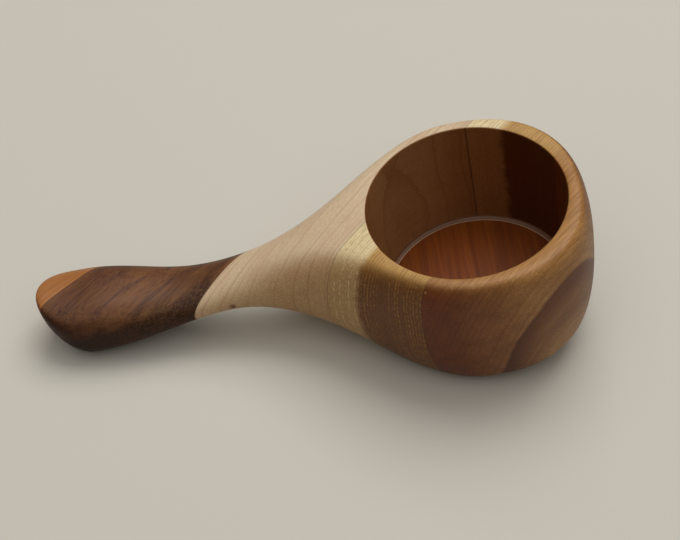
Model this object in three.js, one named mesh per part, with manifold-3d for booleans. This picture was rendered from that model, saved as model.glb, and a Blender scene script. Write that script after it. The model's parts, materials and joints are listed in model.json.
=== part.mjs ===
// A one-handled wooden cup, carved from a laminated block of several woods, with a glued-in floor disc.
// Millimetres, +Z up. The cup rests as it does on a table, leaning on the bulb of its handle.
// The handle runs along -X, and X = Y = 0 is the middle of the whole cup's box.
import * as THREE from "three";
import { mergeVertices } from "three/addons/utils/BufferGeometryUtils.js";
import Module from "manifold-3d";

// The bore and the cup, measured along and across the bore's axis.
const BORE_RADIUS = 30;
const BORE_DEPTH = 41.5;
const CUP_HEIGHT = 46.1;
const CUP_RADIUS = 36.1;
const CUP_FULLNESS = 2.28; // exponent of the outline from above: 2 is a circle, more is squarer
const CUP_OFFSET = 0.3; // the outside is turned this far towards the front of the bore's axis
const RIM_ROUND = 4.4; // how far the wall leans in from its widest place to the rim
const RIM_FULLNESS = 2.76; // exponent of that curve: 2 is an ellipse, more is squarer
const BELLY_HEIGHT = 26.9; // where the wall is widest, above the base
const BASE_ROUND = 5.7; // how far the wall comes in from its widest place to the base
const BASE_FULLNESS = 2.02;

// The handle: half-widths, and distances from the bore's axis.
const FLANK_START = 115.9; // degrees round the cup from its front, where the neck leaves it
const FLANK_PULL = 18.2; // how far the neck's outline follows the cup's own curve
const WAIST_PULL = 30.3; // how far it follows the waist's
const WAIST_X = 75;
const WAIST_HALF_WIDTH = 9.3;
const BULB_X = 119.7;
const BULB_HALF_WIDTH = 13.4;
const BULB_PULL = 0.41; // share of the way from waist to bulb that is nearly parallel, at each end
const HANDLE_END_X = 134.5;
const HANDLE_END_FULLNESS = 2.1; // exponent of the round end: 2 is an ellipse, more is squarer

// The handle's side view: heights above the base.
const NECK_TOP_START_X = 26.1;
const NECK_UNDER_START_X = 20.4;
const WAIST_TOP_X = 88.6;
const WAIST_TOP = 31.8;
const WAIST_UNDER_X = 76;
const WAIST_UNDER = 22;
const BULB_TOP = 36.2;
const BULB_UNDER = 16.1;
const HANDLE_END_TOP = 40.9;
const HANDLE_END_UNDER = 27.9;
const HANDLE_EDGE = 0.39; // height of the handle's widest line, as a share of its thickness
const HANDLE_END_EDGE = 0.62; // the same at the very end, which is rounded up from below
const WAIST_FULLNESS = 2; // exponent of the waist's section: 2 is an ellipse
const BULB_TOP_FULLNESS = 2.9; // the same from the bulb to the end: a flattish top
const BULB_UNDER_FULLNESS = 2.3;

// The glued seams are parallel upright cuts at this angle to the handle, placed by their
// distance from the bore's axis, positive towards the front of the cup.
const SEAM_ANGLE = 42.6;
const FRONT_SEAM = 11.1;
const BAND_SEAM = -19.2;
const GRIP_SEAM = -51.7;
const TIP_SEAM = -85.8;
const GLUE_LINE = 0.3;

// The floor disc fills the lower end of the bore.
const FLOOR_CLEARANCE = 0.3;

// How finely the curves are divided.
const CUP_STEPS = 12;
const FLANK_STEPS = 14;
const GRIP_STEPS = 8;
const END_STEPS = 7;
const SIDE_STEPS = 7;
const BORE_SEGMENTS = 64;

const OVERSIZE = 3 * (HANDLE_END_X + CUP_RADIUS);
const WELD = 1e-3;
const TANGENT_STEP = 1e-3; // radians

const wasm = await Module();
wasm.setup();

const radians = THREE.MathUtils.degToRad;
const mix = THREE.MathUtils.lerp;
const ease = (t) => THREE.MathUtils.smoothstep(t, 0, 1);

// A level-ended rise from one height to another.
function rise(x, fromX, fromZ, toX, toZ) {
  return mix(fromZ, toZ, ease((x - fromX) / (toX - fromX)));
}

// The share of the way from the bulb's widest place to the end of the handle.
function pastBulb(back) {
  return THREE.MathUtils.clamp((back - BULB_X) / (HANDLE_END_X - BULB_X), 0, 1);
}

// Heights of the body's top and underside, a distance back from the bore.
function topHeight(back) {
  if (back < WAIST_TOP_X) {
    return rise(back, NECK_TOP_START_X, CUP_HEIGHT, WAIST_TOP_X, WAIST_TOP);
  }
  const bulb = rise(back, WAIST_TOP_X, WAIST_TOP, BULB_X, BULB_TOP);
  return bulb + (HANDLE_END_TOP - BULB_TOP) * pastBulb(back) ** 2;
}

function underHeight(back) {
  if (back < WAIST_UNDER_X) {
    return rise(back, NECK_UNDER_START_X, 0, WAIST_UNDER_X, WAIST_UNDER);
  }
  const bulb = rise(back, WAIST_UNDER_X, WAIST_UNDER, BULB_X, BULB_UNDER);
  const roundUp = 1 - Math.sqrt(1 - pastBulb(back) ** 2);
  return bulb + (HANDLE_END_UNDER - BULB_UNDER) * roundUp;
}

// Height of the widest line round the body.
function edgeHeight(back) {
  const handleEdge = mix(HANDLE_EDGE, HANDLE_END_EDGE, ease(pastBulb(back)));
  const share = mix(BELLY_HEIGHT / CUP_HEIGHT, handleEdge, ease(back / WAIST_X));
  return mix(underHeight(back), topHeight(back), share);
}

// The cup's own outline from above, a little squarer than a circle, at an angle from its front.
function cupOutline(angle) {
  const c = Math.abs(Math.cos(angle));
  const s = Math.sin(angle);
  const radius = CUP_RADIUS / (c ** CUP_FULLNESS + s ** CUP_FULLNESS) ** (1 / CUP_FULLNESS);
  return new THREE.Vector2(CUP_OFFSET + radius * Math.cos(angle), radius * s);
}

// One half of the outline seen from above, from the front of the cup to the end of the handle.
function outline() {
  const points = [];
  const start = radians(FLANK_START);
  for (let i = 0; i <= CUP_STEPS; i++) points.push(cupOutline((start * i) / CUP_STEPS));
  const leave = cupOutline(start);
  const along = cupOutline(start + TANGENT_STEP).sub(leave).normalize();
  const waist = new THREE.Vector2(-WAIST_X, WAIST_HALF_WIDTH);
  const bulb = new THREE.Vector2(-BULB_X, BULB_HALF_WIDTH);
  const flank = new THREE.CubicBezierCurve(
    leave,
    leave.clone().addScaledVector(along, FLANK_PULL),
    new THREE.Vector2(waist.x + WAIST_PULL, waist.y),
    waist,
  );
  points.push(...flank.getPoints(FLANK_STEPS).slice(1));
  const pull = BULB_PULL * (BULB_X - WAIST_X);
  const grip = new THREE.CubicBezierCurve(
    waist,
    new THREE.Vector2(waist.x - pull, waist.y),
    new THREE.Vector2(bulb.x + pull, bulb.y),
    bulb,
  );
  points.push(...grip.getPoints(GRIP_STEPS).slice(1));
  const endLength = HANDLE_END_X - BULB_X;
  const power = 2 / HANDLE_END_FULLNESS;
  for (let i = 1; i < END_STEPS; i++) {
    const a = ((Math.PI / 2) * i) / END_STEPS;
    const x = bulb.x - endLength * Math.sin(a) ** power;
    points.push(new THREE.Vector2(x, bulb.y * Math.cos(a) ** power));
  }
  points.push(new THREE.Vector2(-HANDLE_END_X, 0));
  return points;
}

// The section of the body from its middle line to one point of the outline: over the top, round
// the side and back underneath. It stands square to the handle, and fans out at both ends.
function sectionAt(edge) {
  const middle = THREE.MathUtils.clamp(edge.x, -BULB_X, 0);
  const reach = Math.hypot(edge.x - middle, edge.y);
  const handle = ease(-middle / WAIST_X);
  const topRound = mix(RIM_ROUND, reach, handle);
  const baseRound = mix(BASE_ROUND, reach, handle);
  const bulb = ease((-middle - WAIST_X) / (BULB_X - WAIST_X));
  const topFullness = mix(WAIST_FULLNESS, BULB_TOP_FULLNESS, bulb);
  const underFullness = mix(WAIST_FULLNESS, BULB_UNDER_FULLNESS, bulb);
  const topPower = 2 / mix(RIM_FULLNESS, topFullness, handle);
  const basePower = 2 / mix(BASE_FULLNESS, underFullness, handle);
  const point = (inset, heightOf, lift) => {
    const share = 1 - inset / reach;
    const x = mix(middle, edge.x, share);
    return new THREE.Vector3(x, edge.y * share, mix(edgeHeight(-x), heightOf(-x), lift));
  };
  const section = [point(reach, topHeight, 1)];
  for (let i = 0; i <= SIDE_STEPS; i++) {
    const a = ((Math.PI / 2) * i) / SIDE_STEPS;
    const inset = topRound * (1 - Math.sin(a) ** topPower);
    section.push(point(inset, topHeight, Math.cos(a) ** topPower));
  }
  for (let i = 1; i <= SIDE_STEPS; i++) {
    const a = ((Math.PI / 2) * i) / SIDE_STEPS;
    const inset = baseRound * (1 - Math.cos(a) ** basePower);
    section.push(point(inset, underHeight, Math.sin(a) ** basePower));
  }
  section.push(point(reach, underHeight, 1));
  return section;
}

// The whole outside of the cup, before it is bored and cut into its blocks.
function bodySections() {
  const half = outline();
  const mirrored = half.slice(1, -1).reverse().map((p) => new THREE.Vector2(p.x, -p.y));
  return [...half, ...mirrored].map(sectionAt);
}

// A closed skin over sections that follow each other round the body.
function skin(sections) {
  const geometry = new THREE.BufferGeometry();
  const flat = sections.flat();
  geometry.setAttribute("position", new THREE.BufferAttribute(
    new Float32Array(flat.flatMap((p) => p.toArray())), 3));
  const steps = sections[0].length;
  const index = [];
  for (let i = 0; i < sections.length; i++) {
    const next = (i + 1) % sections.length;
    for (let j = 0; j < steps - 1; j++) {
      const a = i * steps + j;
      const b = next * steps + j;
      index.push(a, a + 1, b, b, a + 1, b + 1);
    }
  }
  geometry.setIndex(index);
  return geometry;
}

// Turns a closed geometry into a solid for cutting, with its shared corners joined.
function solid(geometry) {
  geometry.deleteAttribute("normal");
  geometry.deleteAttribute("uv");
  const merged = mergeVertices(geometry, WELD);
  const kept = [];
  const index = merged.index.array;
  for (let i = 0; i < index.length; i += 3) {
    const [a, b, c] = index.slice(i, i + 3);
    if (a !== b && b !== c && c !== a) kept.push(a, b, c);
  }
  return new wasm.Manifold(new wasm.Mesh({
    numProp: 3,
    vertProperties: merged.attributes.position.array,
    triVerts: new Uint32Array(kept),
  }));
}

// An upright cylinder on the bore's axis between two heights.
function upright(radius, low, high) {
  const geometry = new THREE.CylinderGeometry(radius, radius, high - low, BORE_SEGMENTS);
  geometry.rotateX(Math.PI / 2).translate(0, 0, (low + high) / 2);
  return solid(geometry);
}

// Everything between two of the parallel seams, and between two distances along them.
function between(from, to, start = -OVERSIZE, end = OVERSIZE) {
  const geometry = new THREE.BoxGeometry(to - from, end - start, OVERSIZE);
  geometry.translate((from + to) / 2, (start + end) / 2, 0);
  geometry.rotateZ(radians(SEAM_ANGLE - 90));
  return solid(geometry);
}

const floorTop = CUP_HEIGHT - BORE_DEPTH;
const sections = bodySections();
const body = solid(skin(sections));
const walls = body.subtract(upright(BORE_RADIUS, -OVERSIZE, OVERSIZE));
const block = (from, to, start, end) =>
  walls.intersect(between(from + GLUE_LINE / 2, to - GLUE_LINE / 2, start, end));

// The lean that lets the base and the bulb touch the table together.
function restingLean() {
  const points = sections.flat();
  const lowest = (lean, chosen) => {
    const heights = chosen.map((p) => p.z * Math.cos(lean) + p.x * Math.sin(lean));
    return Math.min(...heights);
  };
  const bulb = points.filter((p) => p.x < -WAIST_X);
  const cup = points.filter((p) => p.x >= -WAIST_X);
  let low = 0;
  let high = Math.PI / 4;
  for (let i = 0; i < 50; i++) {
    const middle = (low + high) / 2;
    if (lowest(middle, bulb) > lowest(middle, cup)) low = middle;
    else high = middle;
  }
  return low;
}

const cup = new THREE.Group();
cup.rotation.y = -restingLean();

// Adds one piece, with its colour and how matt its oiled surface is.
function piece(name, manifold, color, roughness) {
  const { vertProperties, triVerts, numProp } = manifold.getMesh();
  const positions = new Float32Array((vertProperties.length / numProp) * 3);
  for (let i = 0; i < positions.length / 3; i++) {
    positions.set(vertProperties.subarray(i * numProp, i * numProp + 3), i * 3);
  }
  const geometry = new THREE.BufferGeometry();
  geometry.setAttribute("position", new THREE.BufferAttribute(positions, 3));
  geometry.setIndex(Array.from(triVerts));
  geometry.computeVertexNormals();
  const material = new THREE.MeshStandardMaterial({ color, roughness, metalness: 0 });
  const mesh = new THREE.Mesh(geometry, material);
  mesh.name = name;
  cup.add(mesh);
}

piece("handle_tip", block(-OVERSIZE, TIP_SEAM), 0xa8672d, 0.45);
piece("grip", block(TIP_SEAM, GRIP_SEAM), 0x4a2a1c, 0.4);
piece("neck", block(GRIP_SEAM, BAND_SEAM), 0xd2b48c, 0.5);
piece("band_near", block(BAND_SEAM, FRONT_SEAM, -OVERSIZE, 0), 0x8c6237, 0.5);
piece("band_far", block(BAND_SEAM, FRONT_SEAM, 0, OVERSIZE), 0x8c6237, 0.5);
piece("front", block(FRONT_SEAM, OVERSIZE), 0xa06c45, 0.5);
const disc = upright(BORE_RADIUS - FLOOR_CLEARANCE, -OVERSIZE, floorTop);
piece("floor", body.intersect(disc), 0x8f5a30, 0.45);

// Sets the cup down on the table, with the middle of its length over the origin.
const object = new THREE.Group();
object.add(cup);
cup.updateMatrixWorld(true);
const box = new THREE.Box3().setFromObject(cup, true);
cup.position.set(-(box.min.x + box.max.x) / 2, 0, -box.min.z);

export default object;
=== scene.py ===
import json
import math

import bmesh
import bpy
import numpy as np
from mathutils import Matrix, Vector


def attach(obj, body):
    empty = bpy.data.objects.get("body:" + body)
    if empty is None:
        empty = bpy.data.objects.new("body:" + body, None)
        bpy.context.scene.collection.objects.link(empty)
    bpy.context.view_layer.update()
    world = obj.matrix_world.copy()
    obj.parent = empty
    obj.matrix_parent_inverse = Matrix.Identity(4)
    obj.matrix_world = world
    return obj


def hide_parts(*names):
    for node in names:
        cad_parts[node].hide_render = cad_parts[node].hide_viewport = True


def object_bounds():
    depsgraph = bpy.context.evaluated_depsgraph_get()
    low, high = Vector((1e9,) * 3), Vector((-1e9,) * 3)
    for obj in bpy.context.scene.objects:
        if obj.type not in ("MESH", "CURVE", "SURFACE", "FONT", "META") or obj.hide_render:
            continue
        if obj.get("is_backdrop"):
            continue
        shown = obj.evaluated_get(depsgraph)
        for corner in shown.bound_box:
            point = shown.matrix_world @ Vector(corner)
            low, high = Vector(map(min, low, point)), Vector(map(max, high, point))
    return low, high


# A one-handled wooden cup: five woods glued up, carved and bored, with a glued-in floor disc.
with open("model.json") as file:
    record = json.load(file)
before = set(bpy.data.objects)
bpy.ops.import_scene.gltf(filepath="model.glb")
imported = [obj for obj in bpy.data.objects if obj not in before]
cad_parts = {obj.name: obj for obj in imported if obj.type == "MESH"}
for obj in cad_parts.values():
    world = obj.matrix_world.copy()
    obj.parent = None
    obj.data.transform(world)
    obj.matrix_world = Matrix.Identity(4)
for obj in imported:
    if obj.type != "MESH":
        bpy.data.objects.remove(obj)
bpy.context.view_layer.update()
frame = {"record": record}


# The carved blank: boards glued up with slanting seams, carved as one to the outside of cup and
# handle, and bored through from above. Each wood is cut from it further down, so that the
# carved surface runs over every seam without a step. Its sizes are in millimetres.

mm = 0.001
weld = 1e-6  # metres: corners closer than this are one

bore_radius = 30
bore_depth = 41.5
bore_edge = 0.6  # the bore's upper edge is eased this much
cup_height = 46.1
cup_radius = 36.1
cup_fullness = 2.28  # of the outline from above: 2 is a circle, more is squarer
cup_offset = 0.3
rim_round = 4.4
rim_fullness = 2.76
belly_height = 26.9
base_round = 5.7
base_fullness = 2.02

flank_start = math.radians(115.9)
flank_pull = 18.2
waist_pull = 30.3
waist_x = 75
waist_half_width = 9.3
bulb_x = 119.7
bulb_half_width = 13.4
bulb_pull = 0.41
handle_end_x = 134.5
handle_end_fullness = 2.1

neck_top_start_x = 26.1
neck_under_start_x = 20.4
waist_top_x = 88.6
waist_top = 31.8
waist_under_x = 76
waist_under = 22
bulb_top = 36.2
bulb_under = 16.1
handle_end_top = 40.9
handle_end_under = 27.9
handle_edge = 0.39
handle_end_edge = 0.62
waist_fullness = 2
bulb_top_fullness = 2.9
bulb_under_fullness = 2.3

# How finely the curves are divided.
cup_steps = 70
flank_steps = 70
grip_steps = 44
end_steps = 45
flat_steps = 7
round_steps = 25
bore_segments = 288

# The cup leans back on its handle, so its own axes are turned and moved from the table's.
base = next(mount for mount in frame["record"]["mounts"] if mount["name"] == "base")
lean = math.atan2(base["axis"][0], -base["axis"][2])
cup_to_table = Matrix.Translation(base["pos_m"]) @ Matrix.Rotation(-lean, 4, "Y")


def ease(share):
    share = np.clip(share, 0, 1)
    return share * share * (3 - 2 * share)


def mix(first, second, share):
    return first + (second - first) * share


def past_bulb(back):
    return np.clip((back - bulb_x) / (handle_end_x - bulb_x), 0, 1)


def top_height(back):
    neck_fall = ease((back - neck_top_start_x) / (waist_top_x - neck_top_start_x))
    neck = mix(cup_height, waist_top, neck_fall)
    bulb = mix(waist_top, bulb_top, ease((back - waist_top_x) / (bulb_x - waist_top_x)))
    end = (handle_end_top - bulb_top) * past_bulb(back) ** 2
    return np.where(back < waist_top_x, neck, bulb + end)


def under_height(back):
    neck_rise = ease((back - neck_under_start_x) / (waist_under_x - neck_under_start_x))
    bulb_fall = ease((back - waist_under_x) / (bulb_x - waist_under_x))
    bulb = mix(waist_under, bulb_under, bulb_fall)
    end = (handle_end_under - bulb_under) * (1 - np.sqrt(1 - past_bulb(back) ** 2))
    return np.where(back < waist_under_x, waist_under * neck_rise, bulb + end)


def edge_height(back):
    """Height of the widest line round the body."""
    end_share = mix(handle_edge, handle_end_edge, ease(past_bulb(back)))
    share = mix(belly_height / cup_height, end_share, ease(back / waist_x))
    return mix(under_height(back), top_height(back), share)


def cup_outline(angle):
    c = np.abs(np.cos(angle)) ** cup_fullness
    s = np.abs(np.sin(angle)) ** cup_fullness
    radius = cup_radius / (c + s) ** (1 / cup_fullness)
    return np.stack([cup_offset + radius * np.cos(angle), radius * np.sin(angle)], -1)


def bend(a, b, c, d, steps):
    """A smooth curve from a to d, leaving towards b and arriving from c."""
    t = np.linspace(0, 1, steps + 1)[1:, None]
    u = 1 - t
    return u**3 * a + 3 * u * u * t * b + 3 * u * t * t * c + t**3 * d


def half_outline():
    """The outline from above on one side, from the front of the cup to the handle's end."""
    cup = cup_outline(np.linspace(0, flank_start, cup_steps))
    leave = cup[-1]
    along = cup_outline(flank_start + 1e-4) - leave
    along /= np.linalg.norm(along)
    waist = np.array([-waist_x, waist_half_width])
    bulb = np.array([-bulb_x, bulb_half_width])
    flank = bend(leave, leave + along * flank_pull, waist + (waist_pull, 0), waist, flank_steps)
    pull = np.array([bulb_pull * (bulb_x - waist_x), 0])
    grip = bend(waist, waist - pull, bulb + pull, bulb, grip_steps)
    turn = np.linspace(0, np.pi / 2, end_steps)[1:-1]
    power = 2 / handle_end_fullness
    end_x = -bulb_x - (handle_end_x - bulb_x) * np.sin(turn) ** power
    end = np.stack([end_x, bulb_half_width * np.cos(turn) ** power], -1)
    return np.concatenate([cup, flank, grip, end, [[-handle_end_x, 0]]])


def carved_rows():
    """Rows of points round the body, from its middle line over the top and back underneath."""
    half = half_outline()
    around = np.concatenate([half, half[-2:0:-1] * (1, -1)])
    x, y = around.T
    middle = np.clip(x, -bulb_x, 0)
    reach = np.hypot(x - middle, y)
    handle = ease(-middle / waist_x)
    bulb = ease((-middle - waist_x) / (bulb_x - waist_x))
    top_round = mix(rim_round, reach, handle)
    base_curve = mix(base_round, reach, handle)
    top_fullness = mix(waist_fullness, bulb_top_fullness, bulb)
    under_fullness = mix(waist_fullness, bulb_under_fullness, bulb)
    top_power = 2 / mix(rim_fullness, top_fullness, handle)
    base_power = 2 / mix(base_fullness, under_fullness, handle)

    def row(inset, height, lift):
        share = 1 - inset / reach
        at_x = mix(middle, x, share)
        z = mix(edge_height(-at_x), height(-at_x), lift)
        return np.stack([at_x, y * share, z], -1)

    rows = []
    flats = np.linspace(0, 1, flat_steps)[:-1]
    turns = np.linspace(0, np.pi / 2, round_steps)
    for share in flats:
        rows.append(row(mix(reach, top_round, share), top_height, 1))
    for turn in turns:
        inset = top_round * (1 - np.sin(turn) ** top_power)
        rows.append(row(inset, top_height, np.cos(turn) ** top_power))
    for turn in turns[1:]:
        inset = base_curve * (1 - np.cos(turn) ** base_power)
        rows.append(row(inset, under_height, np.sin(turn) ** base_power))
    for share in 1 - flats[::-1]:
        rows.append(row(mix(base_curve, reach, share), under_height, 1))
    return np.array(rows)


def closed_mesh(rows, name):
    """An object skinned over rows of points that each close on themselves."""
    count = rows.shape[1]
    shape = bmesh.new()
    corners = [[shape.verts.new(point * mm) for point in row] for row in rows]
    for low, high in zip(corners, corners[1:]):
        for i in range(count):
            after = (i + 1) % count
            shape.faces.new((low[i], high[i], high[after], low[after]))
    bmesh.ops.remove_doubles(shape, verts=shape.verts, dist=weld)
    bmesh.ops.dissolve_degenerate(shape, edges=shape.edges, dist=weld)
    bmesh.ops.recalc_face_normals(shape, faces=shape.faces)
    made = bpy.data.meshes.new(name)
    shape.to_mesh(made)
    shape.free()
    return bpy.data.objects.new(name, made)


def turned(profile, name):
    """An object turned about the bore's axis from (radius, height) pairs.

    A height may be a function of the angle, where the turned edge follows the carved top.
    """
    angles = np.linspace(0, 2 * np.pi, bore_segments, endpoint=False)
    rows = []
    for radius, height in profile:
        z = height(angles) if callable(height) else np.full(bore_segments, height)
        rows.append(np.stack([radius * np.cos(angles), radius * np.sin(angles), z], -1))
    return closed_mesh(np.array(rows), name)


def cut(body, tool, operation):
    """The mesh of one body with a tool cut out of it, or with only the shared part kept."""
    for each in (body, tool):
        bpy.context.collection.objects.link(each)
    step = body.modifiers.new("cut", "BOOLEAN")
    step.operation = operation
    step.object = tool
    step.solver = "EXACT"
    ready = body.evaluated_get(bpy.context.evaluated_depsgraph_get())
    made = bpy.data.meshes.new_from_object(ready)
    body.modifiers.remove(step)
    for each in (body, tool):
        bpy.context.collection.objects.unlink(each)
    return made


def top_beside_bore(angles):
    return top_height(-(bore_radius + bore_edge) * np.cos(angles))


# The boring bit's shape ends in a flare that eases the bore's edge round the rim.
flare = [(0, -cup_height), (bore_radius, -cup_height)]
for turn in np.radians(np.linspace(0, 70, 8)):
    out = bore_radius + bore_edge * (1 - math.cos(turn))
    drop = bore_edge * (1 - math.sin(turn))
    flare.append((out, lambda angles, drop=drop: top_beside_bore(angles) - drop))
flare_out, flare_up = 0.9 * bore_edge, 0.35 * bore_edge
last_radius = flare[-1][0]
flare.append((last_radius + flare_out, lambda angles: top_beside_bore(angles) + flare_up))
flare.append((last_radius + flare_out, 2 * cup_height))
flare.append((0, 2 * cup_height))

whole = closed_mesh(carved_rows(), "whole")
blank = cut(whole, turned(flare, "bit"), "DIFFERENCE")


# The neck: a block of pale, close-grained maple between the walnut grip and the locust band.
# It is glued between them, and makes the handle's waist, the flare up to the rim and the back
# of the bore. A small pin knot sits low on its near side.

# The glued seams are upright planes at this angle to the handle, placed by their distance in
# millimetres from the bore's axis, positive towards the front of the cup.
seam_angle = math.radians(42.6)
front_seam = 11.1
band_seam = -19.2
grip_seam = -51.7
tip_seam = -85.8
past_end = 200

seam_fibre = Vector((math.cos(seam_angle), math.sin(seam_angle), 0))
seam_normal = Vector((math.sin(seam_angle), -math.cos(seam_angle), 0))
smooth_angle = math.radians(28)
wood_roughness = 0.43


def colour(red, green, blue):
    """A finish colour from its sRGB values, 0 to 255."""
    def linear(value):
        value /= 255
        return value / 12.92 if value <= 0.04045 else ((value + 0.055) / 1.055) ** 2.4
    return (linear(red), linear(green), linear(blue), 1)


def saw_off(shape, distance, keep_front):
    """Saws a bmesh through at a seam, keeps one side and closes the cut."""
    everything = shape.verts[:] + shape.edges[:] + shape.faces[:]
    sawn = bmesh.ops.bisect_plane(
        shape, geom=everything, dist=1e-7,
        plane_co=seam_normal * distance * mm, plane_no=seam_normal,
        clear_inner=keep_front, clear_outer=not keep_front,
    )
    rim = [edge for edge in sawn["geom_cut"] if isinstance(edge, bmesh.types.BMEdge)]
    bmesh.ops.edgenet_fill(shape, edges=rim)


def block(name, from_seam, to_seam, side=0):
    """One wood's block of the blank. A side of 1 or -1 keeps its far or its near part."""
    shape = bmesh.new()
    shape.from_mesh(blank)
    saw_off(shape, from_seam, True)
    saw_off(shape, to_seam, False)
    if side:
        other = [v for v in shape.verts if v.co.dot(seam_fibre) * side < 0]
        bmesh.ops.delete(shape, geom=other, context="VERTS")
    return finished(shape, name)


def finished(shape, name):
    """Sets a bmesh in the cup's frame down on the table, smooth but for its cut edges."""
    bmesh.ops.remove_doubles(shape, verts=shape.verts, dist=2 * weld)
    bmesh.ops.dissolve_degenerate(shape, edges=shape.edges, dist=2 * weld)
    bmesh.ops.recalc_face_normals(shape, faces=shape.faces)
    shape.transform(cup_to_table)
    made = bpy.data.meshes.new(name)
    shape.to_mesh(made)
    shape.free()
    made.shade_smooth()
    made.set_sharp_from_angle(angle=smooth_angle)
    piece = bpy.data.objects.new(name, made)
    bpy.context.collection.objects.link(piece)
    return piece


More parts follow.
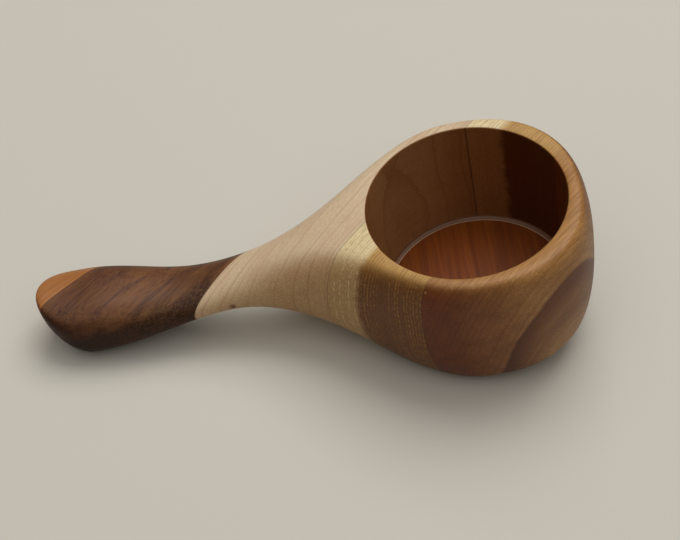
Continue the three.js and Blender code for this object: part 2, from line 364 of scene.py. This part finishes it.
class Timber:
    """One wood's oiled finish, built up in shader nodes.

    It has millimetre places along the fibres, across the growth rings, and along the rings.
    """

    def __init__(self, name, fibre=seam_fibre, across=seam_normal, shine=0.25):
        self.material = bpy.data.materials.new(name)
        self.material.use_nodes = True
        self.tree = self.material.node_tree
        self.surface = self.tree.nodes["Principled BSDF"]
        self.surface.inputs["Specular IOR Level"].default_value = shine
        self.place = self.framed(fibre, across)
        self.across = self.parts(self.place)["Y"]
        self.block_place = self.framed(seam_fibre, seam_normal)
        self.from_seams = self.parts(self.block_place)["Y"]
        level = self.add("VectorMath", {0: self.block_place, 1: (1, 1, 0)}, operation="MULTIPLY")
        self.from_axis = self.add("VectorMath", {0: level["Vector"]}, operation="LENGTH")["Value"]
        self.in_bore = self.spread(self.from_axis, bore_radius + 0.05, bore_radius + 0.3, 1.0, 0.0)
        self.seam_darkness = self.spread(self.in_bore, 0.0, 1.0, 0.3, 0.62)
        ends = {0: self.add("NewGeometry")["Normal"], 1: cup_to_table.to_3x3() @ fibre}
        facing = self.add("VectorMath", ends, operation="DOT_PRODUCT")["Value"]
        self.end_grain = self.spread(self.maths("ABSOLUTE", facing), 0.3, 0.9)

    def add(self, kind, inputs=(), **settings):
        """One node, with each input set to a number or joined to another node's output."""
        made = self.tree.nodes.new("ShaderNode" + kind)
        for name, value in settings.items():
            setattr(made, name, value)
        for name, value in dict(inputs).items():
            if isinstance(value, bpy.types.NodeSocket):
                self.tree.links.new(value, made.inputs[name])
            else:
                made.inputs[name].default_value = value
        return made.outputs

    def framed(self, along, across):
        """Millimetre places along two axes of the cup and square to them, from the bore's base."""
        axes = Matrix((along, across, along.cross(across))).transposed()
        turn = (cup_to_table.to_3x3() @ axes).to_euler()
        values = {"Vector": self.add("TexCoord")["Object"], "Location": base["pos_m"],
                  "Rotation": turn, "Scale": (mm, mm, mm)}
        return self.add("Mapping", values, vector_type="TEXTURE")["Vector"]

    def parts(self, vector):
        return self.add("SeparateXYZ", {"Vector": vector})

    def maths(self, operation, first, second=0.0, third=0.0):
        return self.add("Math", {0: first, 1: second, 2: third}, operation=operation)["Value"]

    def spread(self, value, low, high, to_low=0.0, to_high=1.0):
        """Eases a value from one range to another."""
        values = {"Value": value, "From Min": low, "From Max": high,
                  "To Min": to_low, "To Max": to_high}
        return self.add("MapRange", values, interpolation_type="SMOOTHSTEP")["Result"]

    def streaks(self, length, width, depth=None, detail=2.0, shift=0.0):
        """Noise drawn out along the fibres, in streaks of about this length and width."""
        scale = (1 / length, 1 / width, 1 / (depth or width))
        values = {"Vector": self.place, "Location": (shift, shift, shift), "Scale": scale}
        place = self.add("Mapping", values)["Vector"]
        return self.add("TexNoise", {"Vector": place, "Scale": 1.0, "Detail": detail})["Fac"]

    def blend(self, share, first, second, mode="MIX"):
        """Lays one colour over another by a share."""
        made = self.tree.nodes.new("ShaderNodeMix")
        made.data_type = "RGBA"
        made.blend_type = mode
        for socket, value in zip((0, 6, 7), (share, first, second)):
            if isinstance(value, bpy.types.NodeSocket):
                self.tree.links.new(value, made.inputs[socket])
            else:
                made.inputs[socket].default_value = value
        return made.outputs[2]

    def rings(self, spacing, wander, sharpness=2.0, shift=0.0):
        """Growth rings: 0 in early wood, rising to up to 1 at each ring's dense outer edge."""
        sway = self.maths("SUBTRACT", self.streaks(60, 14, 26, detail=2.0, shift=shift), 0.5)
        swayed = self.maths("MULTIPLY_ADD", sway, wander, self.across)
        ripple = self.maths("SUBTRACT", self.streaks(9, 3, 3, detail=1.0, shift=shift), 0.5)
        swayed = self.maths("MULTIPLY_ADD", ripple, 0.12 * wander, swayed)
        count = self.maths("DIVIDE", swayed, spacing)
        late = self.maths("POWER", self.maths("FRACT", count), sharpness)
        ring = {"W": self.maths("FLOOR", count)}
        strength = self.add("TexWhiteNoise", ring, noise_dimensions="1D")["Value"]
        return self.maths("MULTIPLY", late, self.spread(strength, 0, 1, 0.2, 1.0))

    def spot(self, place, radius):
        """A small round mark at a place in the cup, fading out at its edge."""
        axes = (seam_fibre, seam_normal, seam_fibre.cross(seam_normal))
        middle = {0: self.block_place, 1: [place.dot(axis) for axis in axes]}
        gap = self.add("VectorMath", middle, operation="DISTANCE")["Value"]
        return self.spread(gap, 0.3 * radius, 1.4 * radius, 0.85, 0.0)

    def finish(self, wood, end_tint, relief, seams=(), bore_shade=(1, 1, 1, 1)):
        """Tints the end grain, paints shade into the bore's walls, darkens the glue lines, and adds
        sheen and relief.
        """
        wood = self.blend(self.end_grain, wood, end_tint, "MULTIPLY")
        speckle = self.add("TexNoise", {"Vector": self.place, "Scale": 2.2, "Detail": 2.0})["Fac"]
        dots = self.spread(speckle, 0.35, 0.7, 0.0, 0.45)
        dotted = self.blend(self.maths("MULTIPLY", self.end_grain, dots), wood,
                            (0.45, 0.4, 0.35, 1), "MULTIPLY")
        # Painted shade: inside the bore the wood is multiplied by a darker colour.
        wood = self.blend(self.in_bore, dotted, self.blend(1.0, dotted, bore_shade, "MULTIPLY"))
        for seam in seams:
            gap = self.maths("ABSOLUTE", self.maths("SUBTRACT", self.from_seams, seam))
            line = self.maths("MULTIPLY", self.spread(gap, 0.06, 0.32, 1.0, 0.0), self.seam_darkness)
            wood = self.blend(line, wood, colour(38, 20, 10))
        self.tree.links.new(wood, self.surface.inputs["Base Color"])
        rough = self.spread(relief, 0.3, 0.7, wood_roughness - 0.06, wood_roughness + 0.08)
        self.tree.links.new(rough, self.surface.inputs["Roughness"])
        tooling = self.add("TexNoise", {"Vector": self.place, "Scale": 0.11, "Detail": 1.0})["Fac"]
        height = self.maths("MULTIPLY_ADD", tooling, 6.0, relief)
        bump = self.add("Bump", {"Height": height, "Strength": 0.6, "Distance": 0.03 * mm})["Normal"]
        self.tree.links.new(bump, self.surface.inputs["Normal"])
        return self.material


neck = block("neck_block", grip_seam, band_seam)

maple = Timber("maple")
maple_rings = maple.rings(spacing=1.7, wander=4.5, sharpness=4.0)
maple_wood = maple.blend(maple_rings, colour(208, 186, 154), colour(180, 146, 116))
maple_shade = maple.streaks(50, 5, detail=2.0, shift=11)
maple_wood = maple.blend(maple.spread(maple_shade, 0.4, 0.7, 0, 0.45), maple_wood,
                         colour(194, 162, 130))
maple_flecks = maple.spread(maple.streaks(2.2, 0.28, detail=1.0, shift=5), 0.6, 0.72, 0, 0.4)
maple_wood = maple.blend(maple_flecks, maple_wood, colour(176, 134, 102))
maple_fibres = maple.streaks(7, 0.2, detail=2.0)
maple_wood = maple.blend(maple.spread(maple_fibres, 0.3, 0.7, 0, 0.45), maple_wood,
                         colour(168, 136, 104))

knot = maple.spot(Vector((-75, -9.3, 26.7)), radius=1.1)
maple_wood = maple.blend(knot, maple_wood, colour(104, 58, 32))

# The last colour is the shade painted into the bore.
neck.data.materials.append(maple.finish(
    maple_wood, colour(226, 206, 178), maple_fibres, (grip_seam, band_seam), (0.55, 0.33, 0.18, 1)))
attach(neck, "root")
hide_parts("neck")


# The band: one board of locust, pale sapwood on the neck's side and brown heartwood on the
# front's. The bore splits it into a near and a far part, each glued between neck and front.

sapwood_edge = -9.9  # its distance from the bore's axis, as for the seams

locust = Timber("locust")
locust_rings = locust.rings(spacing=1.0, wander=2.6, sharpness=2.5, shift=3)
locust_fibres = locust.streaks(7, 0.22, detail=2.0, shift=8)
sapwood = locust.blend(locust_rings, colour(222, 202, 158), colour(190, 160, 112))
heartwood = locust.blend(locust_rings, colour(184, 144, 82), colour(136, 92, 44))

# Looked at end on, each ring starts with a row of large pores, which the sanding dust has filled
# pale: broken pale lines on a darker ground, fainter in the bore as part of the shade painted there.
pore_gaps = locust.streaks(30, 0.7, 1.0, detail=1.0, shift=40)
pore_rows = locust.maths("MULTIPLY", locust_rings, locust.spread(pore_gaps, 0.4, 0.58, 0.1, 1.0))
pore_rows = locust.maths("MULTIPLY", pore_rows, locust.spread(locust.in_bore, 0, 1, 1.0, 0.3))
sapwood_end = locust.blend(pore_rows, colour(176, 140, 92), colour(228, 200, 150))
heartwood_end = locust.blend(pore_rows, colour(98, 55, 16), colour(176, 122, 54))
sapwood = locust.blend(locust.end_grain, sapwood, sapwood_end)
heartwood = locust.blend(locust.end_grain, heartwood, heartwood_end)

ragged = locust.maths("MULTIPLY_ADD", locust.streaks(20, 2.5, detail=3.0, shift=2), 3.0, -1.5)
heart_share = locust.spread(locust.maths("ADD", locust.across, ragged),
                            sapwood_edge - 1.2, sapwood_edge + 1.6)
locust_wood = locust.blend(heart_share, sapwood, heartwood)
locust_pores = locust.spread(locust.streaks(3, 0.25, detail=1.0, shift=17), 0.58, 0.68, 0, 0.4)
locust_wood = locust.blend(locust_pores, locust_wood, colour(104, 70, 38))
locust_wood = locust.blend(locust.spread(locust_fibres, 0.3, 0.7, 0, 0.25), locust_wood,
                           colour(130, 94, 54))
# The last colour is the shade painted into the bore.
locust_finish = locust.finish(locust_wood, (1, 1, 1, 1), locust_fibres,
                              (band_seam, front_seam), (0.62, 0.38, 0.25, 1))

for side, part in ((-1, "near"), (1, "far")):
    band = block(f"band_{part}_block", band_seam, front_seam, side)
    band.data.materials.append(locust_finish)
    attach(band, "root")
    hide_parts(f"band_{part}")


# The front: a block of tan-brown pear, glued on in front of the band. It makes most of the cup's
# wall, and a broad darker growth band slants down across it.

front_ring_normal = Vector((0.61, -0.728, -0.312)).normalized()
growth_bands = ((23.5, 8.5, 0.95), (28.2, 4.0, 0.4))  # place, how far it fades, strength

front = block("front_block", front_seam, past_end)

pear = Timber("pear", across=front_ring_normal)
pear_rings = pear.rings(spacing=1.4, wander=3.0, sharpness=2.5, shift=23)
pear_wood = pear.blend(pear_rings, colour(182, 134, 78), colour(150, 102, 52))
pear_lines = pear.rings(spacing=0.6, wander=1.5, sharpness=1.5, shift=51)
pear_wood = pear.blend(pear.maths("MULTIPLY", pear_lines, 0.35), pear_wood, colour(128, 84, 44))
pear_shade = pear.streaks(40, 4, detail=3.0, shift=4)
pear_wood = pear.blend(pear.spread(pear_shade, 0.35, 0.7, 0, 0.55), pear_wood,
                       colour(134, 90, 46))
pear_sway = pear.maths("MULTIPLY_ADD", pear.streaks(45, 9, detail=2.0, shift=31), 1.6, -0.8)
for edge, fade, strength in growth_bands:
    past = pear.maths("ADD", pear.maths("SUBTRACT", pear.across, edge), pear_sway)
    sharp_side = pear.spread(past, -0.25, 0.35)
    fading = pear.spread(past, 0.3, fade, 1.0, 0.0)
    share = pear.maths("MULTIPLY", pear.maths("MULTIPLY", sharp_side, fading), strength)
    pear_wood = pear.blend(share, pear_wood, colour(86, 31, 9))
pear_fibres = pear.streaks(6, 0.25, detail=2.0, shift=9)
pear_wood = pear.blend(pear.spread(pear_fibres, 0.3, 0.7, 0, 0.6), pear_wood, colour(116, 76, 38))

# A chip the size of a pinhead beside the seam has filled with pale dust.
chip = pear.spot(Vector((-16, -30.5, 43.6)), radius=0.45)
pear_wood = pear.blend(chip, pear_wood, colour(236, 214, 176))

front.data.materials.append(
    pear.finish(pear_wood, colour(172, 120, 70), pear_fibres, (front_seam,)))
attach(front, "root")
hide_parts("front")


# The grip: dark walnut, glued between the neck and the tip and carved to fit the fingers. Darker
# and purplish streaks and short dark pores run through it along its slanting fibres.

grip = block("grip_block", tip_seam, grip_seam)

walnut = Timber("walnut", shine=0.15)
walnut_shade = walnut.streaks(60, 6, detail=2.0, shift=7)
walnut_wood = walnut.blend(walnut.spread(walnut_shade, 0.35, 0.65), colour(136, 91, 54),
                           colour(102, 65, 39))
walnut_dark = walnut.streaks(45, 2.5, detail=3.0, shift=19)
walnut_wood = walnut.blend(walnut.spread(walnut_dark, 0.46, 0.66, 0, 0.75), walnut_wood,
                           colour(62, 37, 30))
walnut_rings = walnut.rings(spacing=3.4, wander=4.0, sharpness=3.0, shift=2)
walnut_wood = walnut.blend(walnut.maths("MULTIPLY", walnut_rings, 0.5), walnut_wood,
                           colour(62, 36, 24))

# It darkens towards the tip. Towards the neck's end its lower flank is painted darker, as painted
# shade on the underside.
swirl = walnut.maths("MULTIPLY_ADD", walnut_dark, 9.0, walnut.from_seams)
tipward = walnut.spread(swirl, tip_seam + 12, tip_seam + 26, 0.65, 0.0)
walnut_wood = walnut.blend(tipward, walnut_wood, colour(70, 40, 30))
# Painted shade: the grip's lower flank darkens downwards, most towards the neck's end.
depth = walnut.parts(walnut.block_place)["Z"]
neckward = walnut.maths("MULTIPLY_ADD", walnut.from_seams, 0.2, 12.0)
waver = walnut.maths("MULTIPLY_ADD", walnut_shade, 4.0, -2.0)
low = walnut.maths("ADD", walnut.maths("ADD", depth, neckward), waver)
walnut_wood = walnut.blend(walnut.spread(low, -33, -29, 0.0, 0.92), walnut_wood,
                           colour(36, 20, 12))

walnut_pores = walnut.spread(walnut.streaks(6, 0.3, detail=1.0, shift=3), 0.6, 0.68, 0, 0.7)
walnut_wood = walnut.blend(walnut_pores, walnut_wood, colour(44, 26, 19))
walnut_fibres = walnut.streaks(8, 0.3, detail=2.0, shift=1)
walnut_wood = walnut.blend(walnut.spread(walnut_fibres, 0.35, 0.7, 0, 0.3), walnut_wood,
                           colour(140, 96, 60))

grip.data.materials.append(
    walnut.finish(walnut_wood, colour(160, 135, 120), walnut_fibres, (tip_seam,)))
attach(grip, "root")
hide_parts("grip")


# The handle's tip: a wedge of orange-brown cherry glued to the slanting end of the grip, and
# rounded over with it.

tip = block("handle_tip_block", -past_end, tip_seam)

cherry = Timber("cherry")
cherry_rings = cherry.rings(spacing=1.8, wander=2.0, sharpness=2.0, shift=12)
cherry_wood = cherry.blend(cherry_rings, colour(164, 107, 57), colour(142, 87, 43))
cherry_fibres = cherry.streaks(9, 0.3, detail=2.0, shift=6)
cherry_wood = cherry.blend(cherry.spread(cherry_fibres, 0.3, 0.7, 0, 0.4), cherry_wood,
                           colour(132, 82, 42))

tip.data.materials.append(
    cherry.finish(cherry_wood, colour(190, 160, 135), cherry_fibres))
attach(tip, "root")
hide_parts("handle_tip")


# The floor: an orange-brown disc let into the lower end of the bore and carved off flush with
# the base. Its straight grain runs across the handle.

floor_top = cup_height - bore_depth
disc_radius = bore_radius - 0.02  # an easy push fit
floor_fibre = Vector((0, 1, 0))
floor_across = Vector((1, 0, 0))

plug = turned([(0, -cup_height), (disc_radius, -cup_height), (disc_radius, floor_top),
               (0, floor_top)], "plug")
floor_shape = bmesh.new()
floor_shape.from_mesh(cut(whole, plug, "INTERSECT"))
floor = finished(floor_shape, "floor_disc")

alder = Timber("floor_wood", fibre=floor_fibre, across=floor_across)
alder_shade = alder.streaks(60, 2.2, 30, detail=3.0, shift=2)
alder_wood = alder.blend(alder.spread(alder_shade, 0.35, 0.65), colour(130, 64, 14),
                         colour(106, 49, 10))
alder_fibres = alder.streaks(16, 0.4, detail=2.0, shift=14)
alder_wood = alder.blend(alder.spread(alder_fibres, 0.35, 0.7, 0, 0.45), alder_wood,
                         colour(90, 40, 8))
floor.data.materials.append(
    alder.finish(alder_wood, colour(180, 150, 130), alder_fibres))
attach(floor, "root")
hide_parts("floor")


# The glue bead: a thin hollow fillet of glue and varnish, wiped round the corner between the
# bore's wall and the floor disc, where it has dried a little grey and shinier than the wood.

bead_height = 0.9
bead_width = 1.5
bead_gap = 0.02  # how far it stands off the wall and the floor
bead_top_edge = 0.06
bead_low_edge = 0.05
bead_edge = bore_radius - bead_width

bead_back = bore_radius - bead_gap
bead_profile = [(bead_back, floor_top + bead_gap), (bead_back, floor_top + bead_height)]
for turn in np.linspace(0, np.pi / 2, 9):
    reach = bead_top_edge + (bead_width - bead_top_edge) * (1 - math.cos(turn))
    rise = bead_low_edge + (bead_height - bead_low_edge) * (1 - math.sin(turn))
    bead_profile.append((bore_radius - reach, floor_top + rise))
bead_profile.append((bead_edge, floor_top + bead_gap))
bead_profile.append(bead_profile[0])
bead_shape = bmesh.new()
bead_shape.from_mesh(turned(bead_profile, "bead").data)
bead = finished(bead_shape, "glue_bead")

glue = Timber("dried_glue", shine=0.5)
# Painted highlight: a pale line along the bead's inner edge stands in for light caught in the glue's
# curve.
painted_highlight_edge = glue.spread(glue.from_axis, bead_edge + 0.1, bead_edge + 0.5, 1.0, 0.0)
glue_colour = glue.blend(painted_highlight_edge, colour(112, 72, 44), colour(176, 142, 112))
glue.tree.links.new(glue_colour, glue.surface.inputs["Base Color"])
bead.data.materials.append(glue.material)
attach(bead, "root")


# The table, the light and the camera. The table stands in for a pale cloth, and two soft boxes
# for a window behind the cup and for the room. None of them is part of the cup.

table_mesh = bpy.data.meshes.new("table")
table_half = 8
table_mesh.from_pydata(
    [(x * table_half, y * table_half, 0) for x, y in ((-1, -1), (1, -1), (1, 1), (-1, 1))],
    [], [(0, 1, 2, 3)])
table = bpy.data.objects.new("table", table_mesh)
bpy.context.collection.objects.link(table)
cloth = bpy.data.materials.new("pale_cloth")
cloth.use_nodes = True
cloth_surface = cloth.node_tree.nodes["Principled BSDF"]
cloth_surface.inputs["Base Color"].default_value = colour(196, 191, 180)
cloth_surface.inputs["Roughness"].default_value = 0.85
cloth_surface.inputs["Specular IOR Level"].default_value = 0.2
table.data.materials.append(cloth)
table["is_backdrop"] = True


def soft_light(name, place, size, watts, aim=(0.02, 0, 0.02)):
    """A square soft box that faces the cup."""
    lamp = bpy.data.lights.new(name, "AREA")
    lamp.shape = "SQUARE"
    lamp.size = size
    lamp.energy = watts
    holder = bpy.data.objects.new(name, lamp)
    holder.location = place
    holder.rotation_euler = (Vector(aim) - Vector(place)).to_track_quat("-Z", "Y").to_euler()
    bpy.context.collection.objects.link(holder)


soft_light("window", (0.25, 0.55, 1.3), 1.0, 12)
soft_light("ceiling", (0, -0.25, 1.5), 2.4, 18)

world = bpy.data.worlds.new("room")
bpy.context.scene.world = world
world.use_nodes = True
room_light = world.node_tree.nodes["Background"]
room_light.inputs["Color"].default_value = (1.0, 0.92, 0.8, 1)
room_light.inputs["Strength"].default_value = 0.12

camera_target = Vector((0.0077, -0.0035, 0.025))
camera_distance = 0.4271
camera_azimuth = math.radians(-4.22)
camera_elevation = math.radians(49.12)
camera_roll = math.radians(-0.5)
backward = Vector((
    math.sin(camera_azimuth) * math.cos(camera_elevation),
    -math.cos(camera_azimuth) * math.cos(camera_elevation),
    math.sin(camera_elevation),
))
lens = bpy.data.cameras.new("camera")
lens.lens = 74.1
lens.sensor_width = 36
camera = bpy.data.objects.new("camera", lens)
camera.location = camera_target + backward * camera_distance
camera_turn = (-backward).to_track_quat("-Z", "Y").to_matrix()
camera_turn @= Matrix.Rotation(camera_roll, 3, "Z")
camera.rotation_euler = camera_turn.to_euler()
bpy.context.collection.objects.link(camera)
bpy.context.scene.camera = camera
bpy.context.scene.view_settings.view_transform = "Standard"

low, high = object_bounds()
